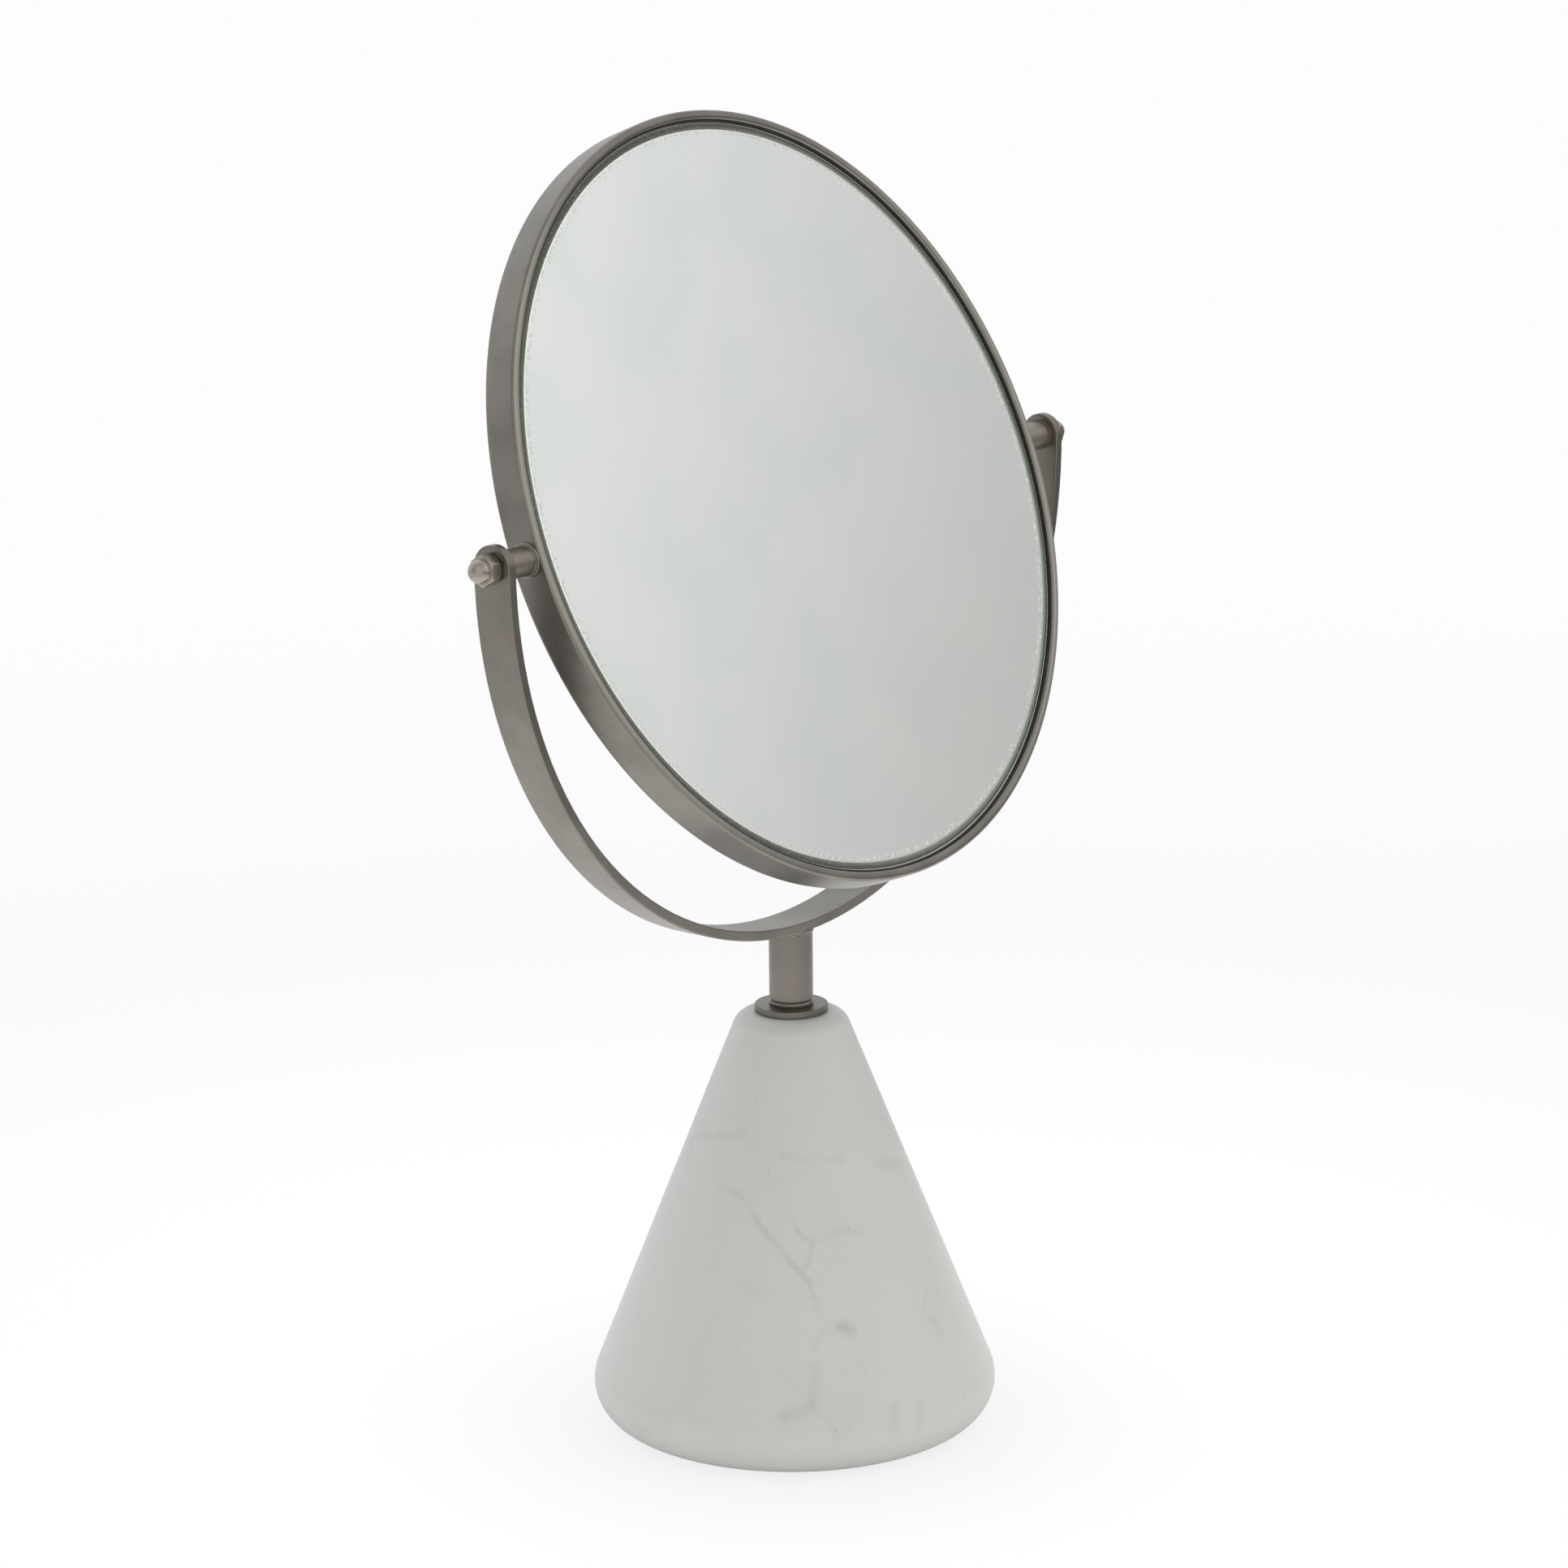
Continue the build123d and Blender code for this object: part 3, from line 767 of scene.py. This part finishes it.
def stem_bar():
    """The stem, coped to the yoke, with its bore and a narrow weld at the top."""
    radius, bottom, _ = upright_size("stem")
    bore_top = bottom + STEM_THREAD_DEPTH

    def outline_at(angle):
        top = yoke_underside(radius * math.cos(angle))
        swell = STEM_WELD * abs(math.cos(angle)) ** 2
        reach = radius + swell
        points = [(ROD_BORE_RADIUS, bottom), (radius - STEM_CHAMFER, bottom)]
        points += [(radius, bottom + STEM_CHAMFER), (radius, top - 2 * STEM_WELD)]
        for step in range(1, STEM_WELD_STEPS + 1):
            turn = math.pi / 2 * step / STEM_WELD_STEPS
            rise = STEM_WELD * math.sin(turn) * STEM_WELD_TOP_SHARE
            points.append((radius + swell * (1 - math.cos(turn)), top - STEM_WELD + rise))
        points.append((reach, yoke_underside(reach * math.cos(angle))))
        points.append((STEM_CORE_RADIUS, yoke_underside(STEM_CORE_RADIUS * math.cos(angle))))
        points += [(STEM_CORE_RADIUS, bore_top), (ROD_BORE_RADIUS, bore_top)]
        return points

    turned("stem_bar", outline_at, [brushed_nickel], UPRIGHT, "yoke", ["stem"])


def weld_bead():
    """A low, lumpy weld bead round the joint of stem and yoke."""
    stem_radius, _, _ = upright_size("stem")
    builder = bmesh.new()
    rings = []
    for step in range(WELD_STEPS):
        angle = math.tau * step / WELD_STEPS
        outwards = Vector((math.cos(angle), math.sin(angle), 0))
        middle = outwards * (stem_radius - WELD_SINK)
        middle.z = yoke_underside(middle.x) - WELD_SINK
        lumps = sum((height * math.sin(times * angle + phase) for times, phase, height in WELD_LUMPS), 1)
        rings.append([])
        for corner in range(WELD_SIDES):
            turn = math.tau * corner / WELD_SIDES
            offset = outwards * math.cos(turn) + Vector((0, 0, WELD_HEIGHT * math.sin(turn)))
            rings[-1].append(builder.verts.new((middle + offset * WELD_RADIUS * lumps) * MM))
    for ring, following in zip(rings, rings[1:] + rings[:1]):
        for corner in range(WELD_SIDES):
            after = (corner + 1) % WELD_SIDES
            builder.faces.new((ring[corner], following[corner], following[after], ring[after]))
    bmesh.ops.recalc_face_normals(builder, faces=builder.faces)
    mesh = bpy.data.meshes.new("stem_weld")
    builder.to_mesh(mesh)
    builder.free()
    mesh.materials.append(brushed_nickel)
    finish_piece(
        bpy.data.objects.new("stem_weld", mesh), UPRIGHT, "yoke", [], sharp=80)


def centre_rod():
    radius, bottom, top = upright_size("threaded_rod")
    turned("centre_rod", thread_outline(radius, M6_PITCH, bottom, top), [zinc], UPRIGHT, "yoke",
           ["threaded_rod"], segments=24, sharp=60)


# ---- mirror head ----------------------------------------------------------------

def hoop():
    """The flat band. Each corner's arc changes from one material to the other half way."""
    half = HOOP_DEPTH / 2
    outline = rounded([
        (hoop_radius, -half, HOOP_EDGE_ROUND), (hoop_radius, half, HOOP_EDGE_ROUND),
        (hoop_inner_radius, half, HOOP_EDGE_ROUND), (hoop_inner_radius, -half, HOOP_EDGE_ROUND)])
    to_face, to_band = [0, 0, 0, 0, 1, 1, 1], [1, 1, 1, 0, 0, 0, 0]
    turned("hoop", outline, [hoop_nickel, face_nickel], HEAD, "mirror_head", ["mirror_hoop"],
           segments=360,
           zones=to_band + [0] + to_face + [1] + to_band + [0] + to_face + [1])


def rim_points(face_height, towards_back):
    """The glass's rim from the ground line to the outer edge; towards_back is -1 or +1."""
    points = []
    for inwards in (BEVEL_WIDTH, BARE_RIM_WIDTH, EDGE_LINE_WIDTH, 0):
        drop = ARRIS_DROP + (BEVEL_DEPTH - ARRIS_DROP) * (1 - inwards / BEVEL_WIDTH)
        points.append((GLASS_RADIUS - inwards, face_height + towards_back * drop))
    return points


def front_glass():
    """Flat glass: silver, ground line, bevel, bare rim, edge line, ground side and painted back."""
    silver_radius = GLASS_RADIUS - BEVEL_WIDTH - ARRIS_WIDTH
    outline = [(0, front_glass_top), (silver_radius, front_glass_top)]
    outline += rim_points(front_glass_top, -1)
    outline += [(GLASS_RADIUS, front_glass_bottom), (0, front_glass_bottom)]
    turned("front_glass", outline, glass_materials, HEAD, "mirror_head", ["front_mirror_glass"],
           segments=360, sharp=1.5, zones=[0, 1, 2, 3, 4, 5, 6, 6])


def hollow_line(rim_height, start, end, steps=24):
    """Points of the hollow glass's curve between two radii, deepest in the middle."""
    curve_radius = (GLASS_RADIUS ** 2 + REAR_GLASS_SAG ** 2) / (2 * REAR_GLASS_SAG)
    points = []
    for step in range(steps + 1):
        radius = start + (end - start) * step / steps
        drop = curve_radius - math.sqrt(curve_radius ** 2 - radius ** 2)
        points.append((radius, rim_height + REAR_GLASS_SAG - drop))
    return points


def rear_glass():
    """The hollow magnifying glass, with the same rim."""
    face = hollow_line(rear_rim_back, 0, GLASS_RADIUS - BEVEL_WIDTH - ARRIS_WIDTH)
    back = hollow_line(rear_rim_front, GLASS_RADIUS, 0)
    outline = face + rim_points(face[-1][1], 1) + back
    zones = [0] * (len(face) - 1) + [1, 2, 3, 4, 5] + [6] * len(back)
    turned("rear_glass", outline, glass_materials, HEAD, "mirror_head", ["rear_mirror_glass"],
           segments=360, sharp=3, zones=zones)


# The black rubber linings inside the hoop; their black near the face is also painted shade for the narrow
# gap between the glass and the hoop's wall
def rim_linings():
    for name, node_name, bottom, top in (
            ("front_lining", "front_glass_gasket", front_glass_bottom, HOOP_DEPTH / 2 - LINING_RECESS),
            ("rear_lining", "rear_glass_gasket", LINING_RECESS - HOOP_DEPTH / 2, rear_rim_front)):
        outline = ring_outline(LINING_OUTER_RADIUS, LINING_INNER_RADIUS, bottom, top, 0.08)
        turned(name, outline, [rubber], HEAD, "mirror_head", [node_name], segments=360)


# ---- pivots ---------------------------------------------------------------------

def pivot_boss(side, name):
    """The spacer with its thin flange, seated on the hoop's band; the flange's edge is smoother, and its
    lighter nickel is a painted highlight.
    """
    _, _, end = pivot_size("right_pivot_boss")
    flange_top = hoop_radius + BOSS_FLANGE_THICKNESS
    floor = hoop_radius + BOSS_FLOOR
    upper = rounded([
        (BOSS_FLANGE_RADIUS, flange_top, BOSS_FLANGE_EDGE), (BOSS_RADIUS, flange_top, BOSS_FLANGE_FILLET),
        (BOSS_RADIUS, end, BOSS_END_ROUND), (STUD_BORE_RADIUS, end, BOSS_BORE_EDGE),
        (STUD_BORE_RADIUS, floor, 0), (0, floor, 0), (0, hoop_radius, 0),
        (BOSS_FLANGE_RADIUS, hoop_radius, 0)], steps=4)[:-2]

    def outline_at(angle):
        seat = math.sqrt(hoop_radius ** 2 - (BOSS_FLANGE_RADIUS * math.sin(angle)) ** 2)
        return upper + [(0, hoop_radius), (BOSS_FLANGE_RADIUS, seat)]

    # The flange's edge gets the lighter satin nickel: a painted highlight along it
    zones = [1] * 4 + [0] * (len(upper) - 2)
    turned(f"{name}_boss", outline_at, [boss_nickel, satin_nickel], tilt_axis(side, HEAD),
           "mirror_head", [f"{name}_pivot_boss"], zones=zones)


def pivot_stud(side, name):
    _, start, end = pivot_size("right_pivot_stud")
    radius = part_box("right_pivot_stud")[1].y / MM
    turned(f"{name}_stud", thread_outline(radius, M4_PITCH, start, end), [zinc], tilt_axis(side),
           "mirror_head", [f"{name}_pivot_stud"], segments=24, sharp=60)


def pivot_washers(side, name):
    for kind in ("inner", "outer"):
        radius, start, end = pivot_size(f"right_{kind}_friction_washer")
        outline = ring_outline(radius, WASHER_BORE_RADIUS, start, end, 0.06)
        turned(f"{name}_{kind}_washer", outline, [nylon], tilt_axis(side), "mirror_head",
               [f"{name}_{kind}_friction_washer"])


def dome_nut(side, name):
    """Cap nut: a hexagon with turned corners, a short neck and a half ball."""
    _, start, end = pivot_size("right_dome_nut")
    flat_radius = NUT_FLATS / 2
    hexagon_top = start + NUT_HEXAGON_HEIGHT
    ball_centre = end - DOME_RADIUS
    eased = NUT_EASED_EDGE
    corner_limit = NUT_FLATS / math.sqrt(3) - NUT_CORNER_CUT

    def outline_at(angle):
        side_radius = min(hexagon_radius(angle, NUT_FLATS), corner_limit)
        slope = (side_radius - flat_radius) * math.tan(math.radians(NUT_CHAMFER_ANGLE))
        points = [(STUD_BORE_RADIUS, start), (flat_radius - eased, start), (flat_radius, start + eased)]
        points += [(side_radius, start + slope + eased), (side_radius, hexagon_top - slope - eased)]
        points += [(flat_radius - eased, hexagon_top), (DOME_RADIUS + NUT_FILLET / 2, hexagon_top)]
        points.append((DOME_RADIUS, hexagon_top + NUT_FILLET / 2))
        for step in range(DOME_STEPS + 1):
            turn = math.pi / 2 * step / DOME_STEPS
            points.append((DOME_RADIUS * math.cos(turn), ball_centre + DOME_RADIUS * math.sin(turn)))
        return points + [(0, start + DOME_BORE_DEPTH), (STUD_BORE_RADIUS, start + DOME_BORE_DEPTH)]

    turned(f"{name}_nut", outline_at, [satin_nickel], tilt_axis(side), "mirror_head",
           [f"{name}_dome_nut"], segments=96, sharp=24)


# ---- CAD nodes that stay --------------------------------------------------------

def finish_cad_nodes():
    """Better materials for the CAD nodes whose shape is already right."""
    materials = {
        "yoke": yoke_nickel, "base_washer": zinc, "base_spring_washer": zinc, "base_nut": zinc,
        "glass_spacer_hoop": nylon, "backing_disc": card}
    for node_name, material in materials.items():
        for material_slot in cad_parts[node_name].material_slots:
            material_slot.material = material


# ---- studio ---------------------------------------------------------------------

FLOOR_RADIUS = 9000.0
FLOOR_SPECKLE = 60
FLOOR_DARK = (0.87, 0.87, 0.87)
FLOOR_LIGHT = (0.89, 0.89, 0.89)
FLOOR_DIM = (0.3, 0.3, 0.29)
FLOOR_GLOW = 0.45
FLOOR_GLOW_START = 20.0
FLOOR_GLOW_FULL = 120.0
FLOOR_FADE_START = 200.0
FLOOR_FADE_END = 550.0
FLOOR_FADED = 0.15
DIM_SIDE = (0.77, -0.64, 0.0)   # towards this side the floor gives back less light far away
DIM_START = 250.0
DIM_FULL = 1000.0
FLOOR_SEEN_FAR = 1100.0
FLOOR_WHITENESS = 0.8           # how far the camera sees the floor as the plain background
SURROUND = 0.42
SURROUND_TINT = (1.0, 0.955, 0.90)
BACKGROUND = 0.98

# Soft lights in the surroundings: direction, angle from it of the full part and of the edge,
# brightness and colour
SOFT_LIGHTS = [
    ((0.55, 0.80, 0.25), 40, 95, 0.45, (1.04, 1.12, 1.22)),
    ((0.385, -0.756, 0.530), 18, 36.5, 0.60, (1.0, 1.0, 1.0)),
    ((-0.72, -0.52, 0.46), 18, 55, 0.42, (1.0, 1.02, 1.05)),
]

CAMERA_AZIMUTH = -51.743
CAMERA_ELEVATION = 13.846
CAMERA_ROLL = -0.554
CAMERA_DISTANCE = 1308.065
CAMERA_TARGET = (-2.747, -0.465, 170.68)
CAMERA_LENS = 118.04


def studio_floor():
    """A wide, plain, pale floor. It glows a little round the object, less far off, and on one side
    it is dim far off. The camera sees most of it as the plain background, with a faint shadow."""
    builder = bmesh.new()
    bmesh.ops.create_circle(builder, cap_ends=True, segments=128, radius=FLOOR_RADIUS * MM)
    mesh = bpy.data.meshes.new("studio_floor")
    builder.to_mesh(mesh)
    builder.free()
    material, tree, shader = new_material("studio_floor")
    place = object_place(tree)
    distance = vectors(tree, "LENGTH", place)
    speckle = noise(tree, place, FLOOR_SPECKLE, detail=3)
    pale = blend_colours(tree, speckle, colour(*FLOOR_DARK), colour(*FLOOR_LIGHT))
    sideways = vectors(tree, "DOT_PRODUCT", place, DIM_SIDE)
    far = soft_step(tree, sideways, DIM_START * MM, DIM_FULL * MM)
    tree.links.new(blend_colours(tree, far, pale, colour(*FLOOR_DIM)), shader.inputs["Base Color"])
    shader.inputs["Roughness"].default_value = 0.9
    shader.inputs["Specular IOR Level"].default_value = 0.1
    shader.inputs["Emission Color"].default_value = colour(1.0, 1.0, 1.0)
    glow = soft_step(tree, distance, FLOOR_GLOW_START * MM, FLOOR_GLOW_FULL * MM, 0.0, FLOOR_GLOW)
    fade = soft_step(tree, distance, FLOOR_FADE_START * MM, FLOOR_FADE_END * MM, 1.0, FLOOR_FADED)
    lit_side = maths(tree, "MULTIPLY", fade, maths(tree, "SUBTRACT", 1.0, far))
    tree.links.new(maths(tree, "MULTIPLY", glow, lit_side), shader.inputs["Emission Strength"])
    plain = node(tree, "ShaderNodeEmission", {"Color": colour(1, 1, 1), "Strength": BACKGROUND})
    seen = node(tree, "ShaderNodeLightPath").outputs["Is Camera Ray"]
    whiteness = soft_step(tree, distance, 0.0, FLOOR_SEEN_FAR * MM, FLOOR_WHITENESS, 1.0)
    share = maths(tree, "MULTIPLY", seen, whiteness)
    shown = node(tree, "ShaderNodeMixShader", {0: share, 1: shader.outputs[0], 2: plain.outputs[0]})
    tree.links.new(shown.outputs[0], tree.nodes["Material Output"].inputs["Surface"])
    mesh.materials.append(material)
    floor = bpy.data.objects.new("studio_floor", mesh)
    bpy.context.scene.collection.objects.link(floor)


def studio_surroundings():
    """Even light from all round with broad soft lights in it, and a plain pale background."""
    world = bpy.data.worlds.new("studio")
    world.use_nodes = True
    bpy.context.scene.world = world
    tree = world.node_tree
    tree.nodes.clear()
    direction = node(tree, "ShaderNodeTexCoord").outputs["Generated"]
    lit = (0, 0, 0)
    for towards, core, edge, strength, tint in SOFT_LIGHTS:
        facing = vectors(tree, "DOT_PRODUCT", direction, Vector(towards).normalized())
        glow = soft_step(
            tree, facing, math.cos(math.radians(edge)), math.cos(math.radians(core)), 0.0, strength)
        lit = vectors(tree, "ADD", lit, scaled(tree, tint, glow))
    dim_room = node(tree, "ShaderNodeBackground", {"Color": colour(*SURROUND_TINT), "Strength": SURROUND})
    soft_lights = node(tree, "ShaderNodeBackground", {"Color": lit, "Strength": 1.0})
    lighting = node(tree, "ShaderNodeAddShader", {0: dim_room.outputs[0], 1: soft_lights.outputs[0]})
    plain = node(tree, "ShaderNodeBackground", {
        "Color": colour(1, 1, 1), "Strength": BACKGROUND})
    seen = node(tree, "ShaderNodeLightPath").outputs["Is Camera Ray"]
    mixed = node(tree, "ShaderNodeMixShader", {0: seen, 1: lighting.outputs[0], 2: plain.outputs[0]})
    node(tree, "ShaderNodeOutputWorld", {"Surface": mixed.outputs[0]})


def studio_camera():
    azimuth = math.radians(CAMERA_AZIMUTH)
    elevation = math.radians(CAMERA_ELEVATION)
    back = Vector((
        math.sin(azimuth) * math.cos(elevation), -math.cos(azimuth) * math.cos(elevation),
        math.sin(elevation)))
    data = bpy.data.cameras.new("camera")
    data.lens = CAMERA_LENS
    data.sensor_width = 36.0
    camera = bpy.data.objects.new("camera", data)
    bpy.context.scene.collection.objects.link(camera)
    camera.rotation_mode = "QUATERNION"
    camera.rotation_quaternion = back.to_track_quat("Z", "Y") @ Quaternion(
        (0, 0, 1), math.radians(CAMERA_ROLL))
    camera.location = Vector(CAMERA_TARGET) * MM + back * CAMERA_DISTANCE * MM
    bpy.context.scene.camera = camera


def plain_colours():
    """Show colours as they are, with no film curve."""
    bpy.context.scene.view_settings.view_transform = "Standard"


# ---- the whole object -----------------------------------------------------------

stone()
foot_pad()
flange_plate()
neck_rings()
stem_bar()
weld_bead()
centre_rod()
hoop()
front_glass()
rear_glass()
rim_linings()
for side_name, side_sign in (("left", -1), ("right", 1)):
    pivot_boss(side_sign, side_name)
    pivot_stud(side_sign, side_name)
    pivot_washers(side_sign, side_name)
    dome_nut(side_sign, side_name)
finish_cad_nodes()

studio_floor()
studio_surroundings()
studio_camera()
plain_colours()
